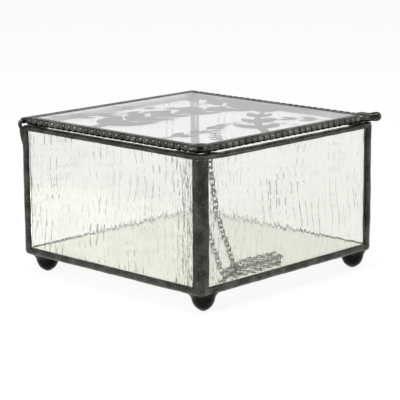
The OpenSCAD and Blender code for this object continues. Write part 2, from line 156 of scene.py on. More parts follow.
def noise(tree, vector, scale, detail=2.0, roughness=0.5):
    """Smooth noise from 0 to 1 over a vector."""
    return add(tree, "ShaderNodeTexNoise", {"Vector": vector, "Scale": scale, "Detail": detail,
                                            "Roughness": roughness}).outputs[0]


def blend_color(tree, factor, a, b):
    """Colour a where factor is 0, b where it is 1."""
    return add(tree, "ShaderNodeMix", {0: factor, 6: a, 7: b}, data_type="RGBA").outputs[2]


def gray(value, warm=0.0):
    """A grey with a little warmth, as a colour."""
    return (value * (1 + warm), value, value * (1 - warm), 1.0)


def new_group(name, inputs, outputs):
    """An empty shader node group; inputs and outputs are (name, socket type, default)."""
    group = bpy.data.node_groups.new(name, "ShaderNodeTree")
    for label, kind, value in inputs:
        socket = group.interface.new_socket(label, in_out="INPUT", socket_type=kind)
        if value is not None:
            socket.default_value = value
    for label, kind in outputs:
        group.interface.new_socket(label, in_out="OUTPUT", socket_type=kind)
    return group, group.nodes.new("NodeGroupInput"), group.nodes.new("NodeGroupOutput")


FLOAT, VECTOR, COLOR = "NodeSocketFloat", "NodeSocketVector", "NodeSocketColor"


def make_patina_group():
    """Dark patina on solder or wire: a black-brown ground that thins to grey on cloudy patches,
    small copper and rust spots, and a lumpy surface as left by the iron."""
    group, given, out = new_group(
        "worn patina",
        [("Place", VECTOR, None), ("Dark", COLOR, gray(0.02)), ("Thin", COLOR, gray(0.12)),
         ("Spot", COLOR, (0.2, 0.08, 0.04, 1)), ("Thinning", FLOAT, 0.5), ("Spots", FLOAT, 0.3),
         ("Lumps", FLOAT, 1.0)],
        [("Color", COLOR), ("Roughness", FLOAT), ("Height", FLOAT)])
    place_in = given.outputs["Place"]
    clouds = noise(group, place_in, 170.0, 4.0, 0.6)
    grains = noise(group, place_in, 1400.0, 3.0, 0.6)
    thin = math_node(group, "ADD", spread(group, clouds, 0.38, 0.72),
                     spread(group, grains, 0.3, 0.75, -0.35, 0.35), clamp=True)
    thin = math_node(group, "MULTIPLY", thin, given.outputs["Thinning"], clamp=True)
    ground = blend_color(group, thin, given.outputs["Dark"], given.outputs["Thin"])
    rust = noise(group, place_in, 620.0, 2.0, 0.55)
    speck = spread(group, rust, 0.66, 0.76)
    patch = spread(group, noise(group, place_in, 95.0, 1.0), 0.5, 0.7)
    speck = math_node(group, "MULTIPLY", math_node(group, "MULTIPLY", speck, patch),
                      given.outputs["Spots"], clamp=True)
    color = blend_color(group, speck, ground, given.outputs["Spot"])
    group.links.new(color, out.inputs["Color"])
    rough = math_node(group, "ADD", spread(group, clouds, 0.3, 0.7, 0.46, 0.3),
                      spread(group, grains, 0.3, 0.7, -0.06, 0.08))
    group.links.new(rough, out.inputs["Roughness"])
    lumps = math_node(group, "MULTIPLY", noise(group, place_in, 260.0, 1.0, 0.4), given.outputs["Lumps"])
    height = math_node(group, "MULTIPLY_ADD", grains, 0.07, lumps)
    group.links.new(height, out.inputs["Height"])
    return group


def make_streak_group():
    """Rain glass: soft ridges that run down the pane and wander a little, and thin lines along
    them, broken into dashes, whose dark colour is painted refraction shade, standing in for the
    dark lines that the ridges' bending of light shows. The place across the pane is x + y, which
    fits both pairs of panes; x - y keeps the panes of a pair apart. A line lies where the place
    across, bent by noise and divided by a spacing, is halfway between whole numbers; its dashes
    are where noise along that line is high."""
    group, given, out = new_group(
        "rain streaks",
        [("Place", VECTOR, None), ("Across", FLOAT, 560.0), ("Along", FLOAT, 75.0), ("Painted shade amount", FLOAT, 0.5)],
        [("Height", FLOAT), ("Painted refraction shade", FLOAT)])
    parts = add(group, "ShaderNodeSeparateXYZ", {0: given.outputs["Place"]})
    across = math_node(group, "ADD", parts.outputs[0], parts.outputs[1])
    which = math_node(group, "SUBTRACT", parts.outputs[0], parts.outputs[1])
    down = parts.outputs[2]

    def field(wide, tall, detail, seed, at_across=across):
        """Noise stretched down the pane: wide and tall are how many features a metre holds."""
        at = add(group, "ShaderNodeCombineXYZ", {
            0: math_node(group, "MULTIPLY", at_across, wide), 1: math_node(group, "MULTIPLY", down, tall),
            2: math_node(group, "MULTIPLY_ADD", which, 7.0, seed)}).outputs[0]
        return noise(group, at, 1.0, detail, 0.5)

    def lines(spacing, thick, drift, level, seed):
        """Thin lines about one spacing apart that drift across by noise. Short dashes are left
        where one noise along a line is over the level, longer runs of them where another is,
        and they are paler in calm patches."""
        place = math_node(group, "MULTIPLY_ADD", field(46.0, 30.0, 1.0, seed), drift, across)
        count = math_node(group, "DIVIDE", place, spacing)
        off = math_node(group, "SUBTRACT", math_node(group, "FRACT", count), 0.5)
        line = spread(group, math_node(group, "ABSOLUTE", off), 0.5 * thick / spacing,
                      1.2 * thick / spacing, 1.0, 0.0)
        # each line has a place of its own in the noises that break it
        own = math_node(group, "MULTIPLY", math_node(group, "FLOOR", count), 0.0137)
        dashes = spread(group, field(950.0, 330.0, 1.5, seed + 5.0, own), level - 0.09, level - 0.02)
        runs = spread(group, field(800.0, 48.0, 1.0, seed + 7.0, own), level - 0.02, level + 0.04)
        calm = spread(group, field(34.0, 18.0, 1.0, seed + 9.0), 0.4, 0.58, 0.3, 1.0)
        return math_node(group, "MULTIPLY", math_node(group, "MULTIPLY", line, dashes),
                         math_node(group, "MULTIPLY", runs, calm))

    bold = lines(spacing=0.0041, thick=0.00024, drift=0.013, level=0.55, seed=3.0)
    second = lines(spacing=0.0029, thick=0.0002, drift=0.011, level=0.57, seed=31.0)
    faint = lines(spacing=0.0013, thick=0.0002, drift=0.007, level=0.57, seed=57.0)
    # the dashes darken the glass's colour: painted refraction shade, in place of the dark lines that the
    # ridges' refraction shows
    painted_refraction_shade = math_node(group, "MULTIPLY_ADD", faint, 0.34, math_node(
        group, "MULTIPLY_ADD", second, 0.7, bold))
    painted_refraction_shade = math_node(group, "MULTIPLY", painted_refraction_shade, given.outputs["Painted shade amount"], clamp=True)
    wide, tall = given.outputs["Across"], given.outputs["Along"]
    fine_wide = math_node(group, "MULTIPLY", wide, 2.1)
    fine_tall = math_node(group, "MULTIPLY", tall, 2.6)
    height = math_node(group, "MULTIPLY_ADD", field(fine_wide, fine_tall, 2.0, 4.0), 0.3,
                       field(wide, tall, 1.5, 0.0))
    height = math_node(group, "MULTIPLY_ADD", bold, 0.2, height)
    group.links.new(height, out.inputs["Height"])
    group.links.new(painted_refraction_shade, out.inputs["Painted refraction shade"])
    return group


PATINA = make_patina_group()
STREAKS = make_streak_group()


def new_material(name):
    """A material with an empty tree, and its object coordinates."""
    material = bpy.data.materials.new(name)
    material.use_nodes = True
    tree = material.node_tree
    tree.nodes.clear()
    return material, tree, tree.nodes.new("ShaderNodeTexCoord").outputs["Object"]


def surface(material, shader):
    """The material, with a shader node as its surface."""
    tree = material.node_tree
    out = tree.nodes.new("ShaderNodeOutputMaterial")
    tree.links.new(shader.outputs[0], out.inputs[0])
    return material


def relief(tree, height, depth):
    """The normal of a surface that is raised by a height, where 1 is depth in metres."""
    return add(tree, "ShaderNodeBump", {"Strength": 1.0, "Distance": depth, "Height": height}).outputs[0]


def pale_shadow(tree, shader, tint):
    """A glass shader that gives shadow rays a plain tint, so that light comes through it."""
    clear = add(tree, "ShaderNodeBsdfTransparent", {0: tint})
    ray = tree.nodes.new("ShaderNodeLightPath")
    return add(tree, "ShaderNodeMixShader", {0: ray.outputs["Is Shadow Ray"], 1: shader.outputs[0],
                                             2: clear.outputs[0]})


def patina_metal(name, dark, thin, spot, thinning, spots, lumps, metallic=0.85, bump=0.00025, coat=0.3):
    """Metal under dark patina and a thin finishing wax."""
    material, tree, place_at = new_material(name)
    skin = add(tree, "ShaderNodeGroup", {"Place": place_at, "Dark": dark, "Thin": thin, "Spot": spot,
                                         "Thinning": thinning, "Spots": spots, "Lumps": lumps},
               node_tree=PATINA).outputs
    return surface(material, add(tree, "ShaderNodeBsdfPrincipled", {
        "Base Color": skin["Color"], "Roughness": skin["Roughness"], "Metallic": metallic,
        "Coat Weight": coat, "Coat Roughness": 0.22, "Normal": relief(tree, skin["Height"], bump)}))


def beaded_metal_painted_light():
    """Beaded wire: a painted highlight on the crests of the beads, where the patina is lighter and
    glossier, and painted shade, near black, between them. How far a place is from the wire's axis
    tells crests from valleys. The axis runs along the front at one y and along both sides at one
    distance from the middle, always at one height."""
    material, tree, place_at = new_material("beaded wire")
    skin = add(tree, "ShaderNodeGroup", {"Place": place_at, "Dark": (0.02, 0.0205, 0.017, 1),
                                         "Thin": (0.19, 0.19, 0.16, 1), "Spot": (0.2, 0.1, 0.06, 1),
                                         "Thinning": 0.7, "Spots": 0.5, "Lumps": 0.4},
               node_tree=PATINA).outputs
    axis = CORNER * MM
    parts = add(tree, "ShaderNodeSeparateXYZ", {0: place_at})
    rise = math_node(tree, "SUBTRACT", parts.outputs[2], axis[2])
    rise = math_node(tree, "MULTIPLY", rise, rise)

    def off_axis(across):
        """Distance from an axis: root of the squares of across and rise."""
        return math_node(tree, "SQRT", math_node(tree, "MULTIPLY_ADD", across, across, rise))

    sideways = math_node(tree, "SUBTRACT", math_node(tree, "ABSOLUTE", parts.outputs[0]), axis[0])
    near = math_node(tree, "MINIMUM", off_axis(math_node(tree, "SUBTRACT", parts.outputs[1], axis[1])),
                     off_axis(sideways))
    # painted shade, near black, up to 0.36 mm below a bead's radius, and the lighter patina of the painted
    # highlight from 0.1 mm below it
    painted_crest_highlight = spread(tree, near, (BEAD - 0.36) * MM, (BEAD - 0.1) * MM)
    color = blend_color(tree, painted_crest_highlight, (0.004, 0.004, 0.003, 1), skin["Color"])
    return surface(material, add(tree, "ShaderNodeBsdfPrincipled", {
        "Base Color": color, "Roughness": spread(tree, painted_crest_highlight, 0.0, 1.0, 0.6, 0.27), "Metallic": 0.85,
        "Coat Weight": spread(tree, painted_crest_highlight, 0.0, 1.0, 0.0, 0.35), "Coat Roughness": 0.12,
        "Normal": relief(tree, skin["Height"], 0.0002)}))


def bright_tin():
    """Silvered inner side of the foil round the lid's glass."""
    material, tree, place_at = new_material("bright tin")
    cloud = noise(tree, place_at, 300.0, 3.0, 0.6)
    return surface(material, add(tree, "ShaderNodeBsdfPrincipled", {
        "Base Color": blend_color(tree, cloud, gray(0.72, 0.02), gray(0.88, 0.01)),
        "Roughness": spread(tree, cloud, 0.3, 0.7, 0.2, 0.35), "Metallic": 1.0}))


def streaky_glass():
    """Pale rain glass: clear, with ridges that bend what is behind and dark broken dashes of painted
    refraction shade.
    """
    material, tree, place_at = new_material("streaky glass with painted refraction shade")
    streaks = add(tree, "ShaderNodeGroup", {"Place": place_at, "Across": 560.0, "Along": 125.0,
                                            "Painted shade amount": 1.0}, node_tree=STREAKS).outputs
    shader = add(tree, "ShaderNodeBsdfPrincipled", {
        # dark dashes of painted refraction shade in the glass's colour
        "Base Color": blend_color(tree, streaks["Painted refraction shade"], (0.928, 0.933, 0.905, 1), (0.12, 0.12, 0.11, 1)),
        "Roughness": 0.03, "IOR": 1.5, "Transmission Weight": 1.0, "Metallic": 0.0,
        "Normal": relief(tree, streaks["Height"], 0.00012)})
    return surface(material, pale_shadow(tree, shader, (0.93, 0.94, 0.92, 1)))


def clear_glass():
    """Smooth window glass for the lid, with a faint grey-blue body and a few smears."""
    material, tree, place_at = new_material("clear glass")
    smear = noise(tree, place_at, 55.0, 3.0, 0.6)
    shader = add(tree, "ShaderNodeBsdfPrincipled", {
        "Base Color": blend_color(tree, smear, (0.91, 0.915, 0.92, 1), (0.95, 0.955, 0.955, 1)),
        "Roughness": spread(tree, smear, 0.3, 0.7, 0.01, 0.035), "IOR": 1.5,
        "Transmission Weight": 1.0, "Metallic": 0.0})
    return surface(material, pale_shadow(tree, shader, (0.95, 0.955, 0.95, 1)))


def mirror_glass():
    """The mirror of the floor, faintly green, a little dusty."""
    material, tree, place_at = new_material("mirror glass")
    dust = noise(tree, place_at, 900.0, 4.0, 0.7)
    return surface(material, add(tree, "ShaderNodeBsdfPrincipled", {
        "Base Color": blend_color(tree, spread(tree, dust, 0.4, 0.7), (0.85, 0.866, 0.77, 1),
                                  (0.77, 0.787, 0.69, 1)),
        "Roughness": spread(tree, dust, 0.35, 0.75, 0.015, 0.05), "Metallic": 1.0}))


def print_ink():
    """The dark grey ink of the lid's print, a little uneven."""
    material, tree, place_at = new_material("print ink")
    patch = noise(tree, place_at, 420.0, 3.0, 0.6)
    return surface(material, add(tree, "ShaderNodeBsdfPrincipled", {
        "Base Color": blend_color(tree, patch, gray(0.05), gray(0.1)),
        "Roughness": spread(tree, patch, 0.3, 0.7, 0.5, 0.65)}))


finish = {
    "dark_solder": patina_metal("dark solder", dark=(0.012, 0.0125, 0.0095, 1),
                                thin=(0.125, 0.127, 0.105, 1), spot=(0.24, 0.11, 0.06, 1),
                                thinning=0.55, spots=0.9, lumps=1.0),
    # beaded wire: painted highlight on the beads' crests, painted shade between them
    "beaded_wire": beaded_metal_painted_light(),
    "hinge_stock": patina_metal("hinge stock", dark=gray(0.03, 0.1), thin=gray(0.14, 0.1),
                                spot=(0.24, 0.12, 0.06, 1), thinning=0.5, spots=0.8, lumps=0.4),
    "chain_wire": patina_metal("chain wire", dark=gray(0.07, 0.08), thin=gray(0.32, 0.06),
                               spot=(0.3, 0.18, 0.1, 1), thinning=0.8, spots=0.6, lumps=0.1, bump=0.00006),
    "streaky_glass": streaky_glass(),
    "clear_glass": clear_glass(),
    "mirror_glass": mirror_glass(),
}
# the feet: a darker copy of the solder, as painted shade under the box
FOOT_SOLDER_PAINTED_SHADE = patina_metal("foot solder with painted shade", dark=(0.005, 0.0045, 0.0035, 1), thin=(0.035, 0.032, 0.026, 1),
                           spot=(0.1, 0.04, 0.02, 1), thinning=0.3, spots=0.9, lumps=1.0, metallic=0.93,
                           coat=0.0)
for part in frame["record"]["subparts"]:
    node = frame["nodes"][part["node"]]
    node.data.materials.clear()
    node.data.materials.append(finish[part["material_slot"]])


# ------------------------------------------------------------------ meshes
def grid_mesh(name, points, material, close_u=False, close_v=False, caps=(), smooth=True):
    """A mesh over points[u, v], in millimetres. close_u and close_v join the last row to the
    first; caps lists the ends along v, 0 or -1, that are closed by one flat face. A closed
    mesh whose volume comes out negative is turned outward."""
    nu, nv = points.shape[:2]
    number = np.arange(nu * nv).reshape(nu, nv)
    a = number if close_u else number[:-1]
    b = np.roll(number, -1, 0) if close_u else number[1:]
    if close_v:
        quads = np.stack([a, b, np.roll(b, -1, 1), np.roll(a, -1, 1)], -1).reshape(-1, 4)
    else:
        quads = np.stack([a[:, :-1], b[:, :-1], b[:, 1:], a[:, 1:]], -1).reshape(-1, 4)
    faces = quads.tolist()
    if 0 in caps:
        faces.append(number[::-1, 0].tolist())
    if -1 in caps:
        faces.append(number[:, -1].tolist())
    mesh = bpy.data.meshes.new(name)
    mesh.from_pydata((points.reshape(-1, 3) * MM).tolist(), [], faces)
    mesh.validate()
    round_faces = len(quads)
    mesh.polygons.foreach_set("use_smooth", [smooth and n < round_faces for n in range(len(mesh.polygons))])
    if caps or (close_u and close_v):
        work = bmesh.new()
        work.from_mesh(mesh)
        if work.calc_volume(signed=True) < 0:
            bmesh.ops.reverse_faces(work, faces=work.faces)
            work.to_mesh(mesh)
        work.free()
    mesh.materials.append(material)
    obj = bpy.data.objects.new(name, mesh)
    scene.collection.objects.link(obj)
    return obj


def unevenness(points, length, seed):
    """A smooth uneven value, about -1 to 1, of a place in millimetres: nine sine waves in random
    directions, each about length long, added up."""
    chance = np.random.default_rng(seed)
    ways = chance.normal(size=(9, 3))
    ways *= (2 * np.pi / (length * chance.uniform(0.6, 1.7, 9)) / np.linalg.norm(ways, axis=1))[:, None]
    return np.sin(points @ ways.T + chance.uniform(0, 2 * np.pi, 9)).sum(-1) / 4


def hand_run(points, amount, weight=1.0):
    """Points[u, v] of a solder surface, joined round u, moved along their normals, found from
    their neighbours, by short and long unevenness, as the iron leaves it."""
    along_u = np.roll(points, -1, 0) - np.roll(points, 1, 0)
    normal = np.cross(along_u, np.gradient(points, axis=1))
    size = np.linalg.norm(normal, axis=-1, keepdims=True)
    normal = normal / np.maximum(size, 1e-9)
    push = 0.65 * unevenness(points, 14.0, 11) + 0.35 * unevenness(points, 4.5, 12)
    return points + normal * (amount * push * weight)[..., None]


def fitted(piece, *nodes, body="box", slot="dark_solder"):
    """Fits a new piece: it rides on a body and takes the place of CAD nodes. The slot is not used."""
    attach(piece, body)
    if nodes:
        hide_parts(*nodes)


def closed_piece(name, points, *nodes, body="box", slot="dark_solder", material=None):
    """A closed piece over points[u, v], joined round u, with a flat face at both ends of v."""
    piece = grid_mesh(name, points, material or finish[slot], close_u=True, caps=(0, -1))
    fitted(piece, *nodes, body=body, slot=slot)


def round_angles(count):
    """Angles all round, as a column."""
    return np.linspace(0, 2 * np.pi, count, endpoint=False)[:, None]


def stacked(x, y, z):
    """Points of one grid, from coordinates that are spread over it."""
    return np.stack(np.broadcast_arrays(x, y, z), -1)


def ramp(value, start, length):
    """0 up to start, 1 from start + length on, and even between them."""
    return np.clip((value - start) / length, 0, 1)


def eased(share):
    """A smooth step from 0 to 1, level at both ends: three squares less two cubes."""
    return share * share * (3 - 2 * share)


# ------------------------------------------------------------------ the box's solder, run by hand
def line_between(a, b, count):
    """Points from a to b, without b."""
    return np.array(a) + (np.array(b) - np.array(a)) * np.arange(count)[:, None] / count


def arc_points(center, radius, start, stop, count):
    """Points of an arc between two angles in degrees, without its end. An ellipse has a radius
    for each direction."""
    turn = np.radians(start + (stop - start) * np.arange(count) / count)
    return np.array(center) + np.broadcast_to(radius, 2) * np.stack([np.cos(turn), np.sin(turn)], -1)


def upright(section, low, high, count):
    """A closed section in plan, carried up from one height to another."""
    return stacked(section[:, :1], section[:, 1:], np.linspace(low, high, count))


def post(name, node, hand_x, hand_y, width):
    """L-shaped solder up one corner. In plan it runs from the end of one arm, a quarter round,
    along the face, round the corner's arc, along the other arm and back on the glass. The
    arms' width wanders as it goes up. It is worked out for the back right corner, and the
    hands, 1 or -1, place it."""
    wandering, lumps = 0.22, 0.14
    end = min(SKIN, width - ROUND - 0.05)
    section = np.concatenate([
        arc_points((HALF - width + end, OUTER), (end, SKIN), 180, 90, 5),
        line_between((HALF - width + end, HALF), (HALF - ROUND, HALF), 4),
        arc_points((HALF - ROUND, HALF - ROUND), ROUND, 90, 0, 12),
        line_between((HALF, HALF - ROUND), (HALF, HALF - width + end), 4),
        arc_points((OUTER, HALF - width + end), (SKIN, end), 0, -90, 5),
        line_between((OUTER, HALF - width), (OUTER - BITE, HALF - width), 1),
        line_between((OUTER - BITE, HALF - width), (OUTER - BITE, OUTER - BITE), 4),
        line_between((OUTER - BITE, OUTER - BITE), (HALF - width, OUTER - BITE), 4),
        line_between((HALF - width, OUTER - BITE), (HALF - width, OUTER), 1)])
    # the ends reach into the solder of the base and the rim
    points = upright(section, BASE_TOP - 0.5, RIM_LOW + 0.6, 90)
    own = (hand_x * 31, hand_y * 57, 0)                 # each corner wanders in its own way
    wander = wandering * unevenness(points * (0, 0, 1) + own, 13.0, 5)
    for axis in (0, 1):
        arm = np.clip((HALF - ROUND - points[..., axis]) / (width - ROUND), 0, 1)
        points[..., axis] -= arm * wander * (1 if axis else -1)
    on_glass = (points[..., 0] < OUTER + 0.01) & (points[..., 1] < OUTER + 0.01)
    proud = np.where(on_glass, 0.0, 1.0)
    points = points * (hand_x, hand_y, 1)
    closed_piece(name, hand_run(points, lumps * hand_x * hand_y, weight=proud), node)


def inner_seam(name, hand_x, hand_y):
    """A thin bead of solder up the inside of a corner: a quarter round, its middle in the corner."""
    edge, size = INNER + BITE, 0.4
    section = np.concatenate([arc_points((edge, edge), size, 180, 270, 7),
                              [[edge, edge - size], [edge, edge]]])
    closed_piece(name, upright(section, MIRROR_TOP, RIM_LOW + 0.3, 60) * (hand_x, hand_y, 1))


def side_line(half, radius, count):
    """Plan of one side of a rounded square, front side, from the middle of one corner's arc to
    the middle of the next: an eighth of a circle, the straight, an eighth of a circle."""
    start = arc_points((-half + radius, -half + radius), radius, 225, 270, 6)
    straight = line_between((-half + radius, -half), (half - radius, -half), count)
    stop = arc_points((half - radius, -half + radius), radius, 270, 315, 6)
    last = [[half - radius + radius * math.sqrt(0.5), -half + radius - radius * math.sqrt(0.5)]]
    return np.concatenate([start, straight, stop, last])


def side_strip(name, node, quarter, section, lumps, highest=None):
    """One side of a frame of solder round the box. A closed section, given as distance in from
    the face and height, is carried along the side; the outer line has rounded corners and the
    inner one nearly square ones, and a point lies between them by its distance in. Where a
    highest place is given, the strip is the rim, and rim_lift raises it."""
    depth = section[:, 0].max()
    outside = side_line(HALF, ROUND, 110)
    inside = side_line(HALF - depth, 0.1, 110)
    plan = outside + (inside - outside) * (section[:, 0] / depth)[:, None, None]
    turn = np.radians(90 * quarter)
    plan = plan @ np.array([[math.cos(turn), math.sin(turn)], [-math.sin(turn), math.cos(turn)]])
    points = stacked(plan[..., 0], plan[..., 1], section[:, 1:])
    if highest is not None:
        points[..., 2] += rim_lift(points)
    points = hand_run(points, -lumps)
    if highest is not None:
        points[..., 2] = np.minimum(points[..., 2], highest)
    closed_piece(name, points, node)


def rim_lift(points):
    """How far the rim stands higher than its section: the left side as a whole by a little, and
    the upper face, by more, where solder has flowed into the front corners and the hinge's
    left end. Every change is a ramp along the side."""
    little, more = 0.35, 0.6
    x, y, z = points[..., 0], points[..., 1], points[..., 2]
    left = ramp(-x, HALF - 14.0, 9.0)
    whole = little * eased(left)
    near = ramp(-y, HALF - 18.0, 4.0) * ramp(-x, HALF - 14.0, 4.0)
    far_right = ramp(x, HALF - 12.0, 5.0) * ramp(-y, HALF - 12.0, 5.0)
    hinge = ramp(y, HALF - 15.0, 5.0) * left
    flowed = np.maximum(np.maximum(near, far_right), hinge)
    return whole + flowed * (more - whole) * ramp(z, RIM_LOW, RIM_TOP - RIM_LOW)


def rim_section():
    """Cap over a pane's top edge: the upper half of a rounded oblong, whose width and height
    follow roots of cosine and sine, closed by a flat below; rounder on the face than inside."""
    depth, tallest = 2 * SKIN + OUTER - INNER, RIM_TOP - RIM_LOW - 0.05
    turn = np.linspace(0, np.pi, 25)
    wide = np.sign(np.cos(turn)) * np.abs(np.cos(turn)) ** 0.5
    tall = np.sin(turn) ** np.where(wide > 0, 0.55, 0.35)
    over = np.stack([depth / 2 - depth / 2 * wide, RIM_LOW + tallest * tall], -1)
    below = np.stack([np.linspace(depth, 0, 8)[1:-1], np.full(6, RIM_LOW)], -1)
    return np.concatenate([over, below])


def base_section(top):
    """Seam round the bottom, up to a height: a bulge on the face, a large rounding below it,
    the flat under the floor, and back under the glass and up the pane."""
    low_round, glass_under = 2.0, UNDER + 0.4
    return np.concatenate([
        arc_points((SKIN, top - SKIN), SKIN, 90, 180, 6),
        line_between((0, top - SKIN), (0, UNDER + low_round), 2),
        arc_points((low_round, UNDER + low_round), low_round, 180, 270, 10),
        line_between((low_round, UNDER), (BASE_DEPTH, UNDER + 0.12), 8),
        line_between((BASE_DEPTH, UNDER + 0.12), (BASE_DEPTH, glass_under), 2),
        line_between((BASE_DEPTH, glass_under), (SKIN + BITE, glass_under), 8),
        line_between((SKIN + BITE, glass_under), (SKIN + BITE, top), 4)])


# the far base seams end level with the mirror, so that no dark line stands over its far edges
SIDES = ("front", "right", "back", "left")
SIDE_TOPS = (BASE_TOP, MIRROR_TOP + 0.12, MIRROR_TOP + 0.12, BASE_TOP)
for quarter, label in enumerate(SIDES):
    side_strip("rim_solder_" + label, "rim_" + label, quarter, rim_section(), 0.09, RIM_LIMIT)
for quarter, label in enumerate(SIDES):
    section = base_section(SIDE_TOPS[quarter])
    side_strip("base_solder_" + label, "base_seam_" + label, quarter, section, 0.13)
# label, hand in x, hand in y and the width of the seam's arms
CORNERS = (("fl", -1, -1, 5.0), ("fr", 1, -1, 3.8), ("bl", -1, 1, 4.5), ("br", 1, 1, 4.4))
for label, hand_x, hand_y, width in CORNERS:
    post("post_solder_" + label, "corner_seam_" + label, hand_x, hand_y, width)
    inner_seam("inner_solder_" + label, hand_x, hand_y)


def foot(name, node, hand_x, hand_y):
    """A drop of solder under a corner. Its radius follows the CAD foot's arc from the flat to
    the widest place, with a little added over the first part of the height. Above that it
    flows out, as a power of the height, until it meets the box's outline; it does so toward
    the corner and the faces beside it, and there it also climbs into the seam's rounding."""
    low, high = corners(node)
    middle, radius = (low + high) / 2, (high[0] - low[0]) / 2
    arc, half_flat, fuller = 6.6, 0.95, 0.36
    # height where it starts to flow out, how far it climbs and reaches, and what the corner is cut by
    start, climb, farthest, cut = 4.9, 1.3, 9.5, 1.6
    off = radius - arc
    widest = math.sqrt(arc ** 2 - (half_flat - off) ** 2)
    turn = round_angles(96)
    away = np.arccos(np.cos(turn - math.atan2(hand_y, hand_x)))
    share = ramp(-away, -2.4, 0.8) ** 2
    top = UNDER + 0.25 + climb * share
    height = top * np.linspace(0, 1, 40)
    bow = off + np.sqrt(np.maximum(arc ** 2 - (widest - height) ** 2, 0))
    size = np.where(height < widest, bow, radius) + fuller * ramp(height, 0, 1.7)
    # from the foot's middle to the box's outline, a square with cut corners
    edge = HALF - 0.15
    to_x = (edge - hand_x * middle[0]) / np.maximum(hand_x * np.cos(turn), 0.05)
    to_y = (edge - hand_y * middle[1]) / np.maximum(hand_y * np.sin(turn), 0.05)
    to_cut = (2 * edge - cut - hand_x * middle[0] - hand_y * middle[1]) / np.maximum(
        hand_x * np.cos(turn) + hand_y * np.sin(turn), 0.05)
    reach = np.minimum(np.minimum(to_x, to_y), to_cut)
    flow = ramp(height, start, top - start) ** 1.7
    size = size + flow * share * np.maximum(np.minimum(reach, farthest) - radius - fuller, 0)
    points = stacked(middle[0] + size * np.cos(turn), middle[1] + size * np.sin(turn), height)
    points = hand_run(points, -0.1, weight=ramp(height, 0, 1.5) * (1 - flow))
    points[..., 2] = np.maximum(points[..., 2], 0)
    closed_piece(name, points, node, material=FOOT_SOLDER_PAINTED_SHADE)


for label, hand_x, hand_y, width in CORNERS:
    foot("foot_solder_" + label, "foot_" + label, hand_x, hand_y)


def tube_along(path, radius, around=20):
    """A round tube: each ring stands across the path's direction, and its angles are counted
    from the line that is square to both that direction and y."""
    ahead = np.gradient(path, axis=0)
    ahead /= np.linalg.norm(ahead, axis=1)[:, None]
    across = np.cross(ahead, np.array([0.0, 1.0, 0.0]))
    across /= np.linalg.norm(across, axis=1)[:, None]
    other = np.cross(ahead, across)
    turn = round_angles(around)[..., None]
    radius = np.broadcast_to(radius, len(path))[:, None]
    return path + radius * (np.cos(turn) * across + np.sin(turn) * other)


def smooth_path(knots, count):
    """A smooth line through knots: each coordinate is a cubic between them, whose slope at a
    knot is the mean of the slopes beside it."""
    knots = np.array(knots, float)
    slope = np.gradient(knots, axis=0)
    t = np.linspace(0, len(knots) - 1, count)
    n = np.minimum(t.astype(int), len(knots) - 2)
    f = (t - n)[:, None]
    return ((2 * f ** 3 - 3 * f ** 2 + 1) * knots[n] + (f ** 3 - 2 * f ** 2 + f) * slope[n]
            + (3 * f ** 2 - 2 * f ** 3) * knots[n + 1] + (f ** 3 - f ** 2) * slope[n + 1])


# the hinge's rod: out of the tube at each end, round a bend and down into the corner's solder
ROD = 0.8                                               # the rod's radius
half_rod = [(0, AXIS_Y, AXIS_Z), (HALF - 8, AXIS_Y, AXIS_Z), (HALF - 2.2, AXIS_Y, AXIS_Z),
            (HALF - 1.0, AXIS_Y, AXIS_Z - 0.05), (HALF - 0.1, AXIS_Y, AXIS_Z - 0.55),
            (HALF + 0.05, AXIS_Y - 0.1, AXIS_Z - 1.5), (HALF - 0.35, AXIS_Y - 0.3, RIM_TOP - 0.6),
            (HALF - 0.8, AXIS_Y - 0.6, RIM_TOP - 2.0)]
left_half = [(-x, y, z) for x, y, z in half_rod[:0:-1]]
rod_path = smooth_path(left_half + half_rod, 150)
closed_piece("hinge_rod_bent", tube_along(rod_path, ROD), "hinge_rod", slot="hinge_stock")


def tack(name, node, hand):
    """The solder that holds a leg to its corner: a drop that runs down the corner, thick at the
    rim and closing to a point, on a line just inside the corner's arc that leans inward."""
    thickest, tip, long, lean = 1.5, 0.15, 9.5, 0.25
    down = np.linspace(0, 1, 40)
    size = thickest * (1 - down ** 1.5) * np.sqrt(ramp(down, 0, 1 / 12)) + tip
    turn = round_angles(24)
    points = stacked(hand * (HALF - 1.0 - lean * down) + size * np.cos(turn),
                     HALF - 1.1 - lean * down + size * np.sin(turn), RIM_TOP - 0.7 - long * down)
    closed_piece(name, hand_run(points, 0.08), node)


tack("tack_solder_left", "hinge_tack_left", -1)
tack("tack_solder_right", "hinge_tack_right", 1)


# ------------------------------------------------------------------ the lid's beading, corners and knob
CORE, PITCH = 1.2, 3.5                                  # radius between beads, length of a bead
BEND = 2.5                                              # radius of the wire's bend at the near corner
PLAY = 0.02                                             # between the wire's flat and the lid


def wire_rings(path, size, across):
    """A level round wire. A ring's point is away from the path by its size times an angle's
    cosine in the direction across, which is level and square to the path, and its sine up."""
    turn = round_angles(28)[..., None]
    return path + size[:, None] * (np.cos(turn) * across + np.sin(turn) * np.array([0.0, 0.0, 1.0]))


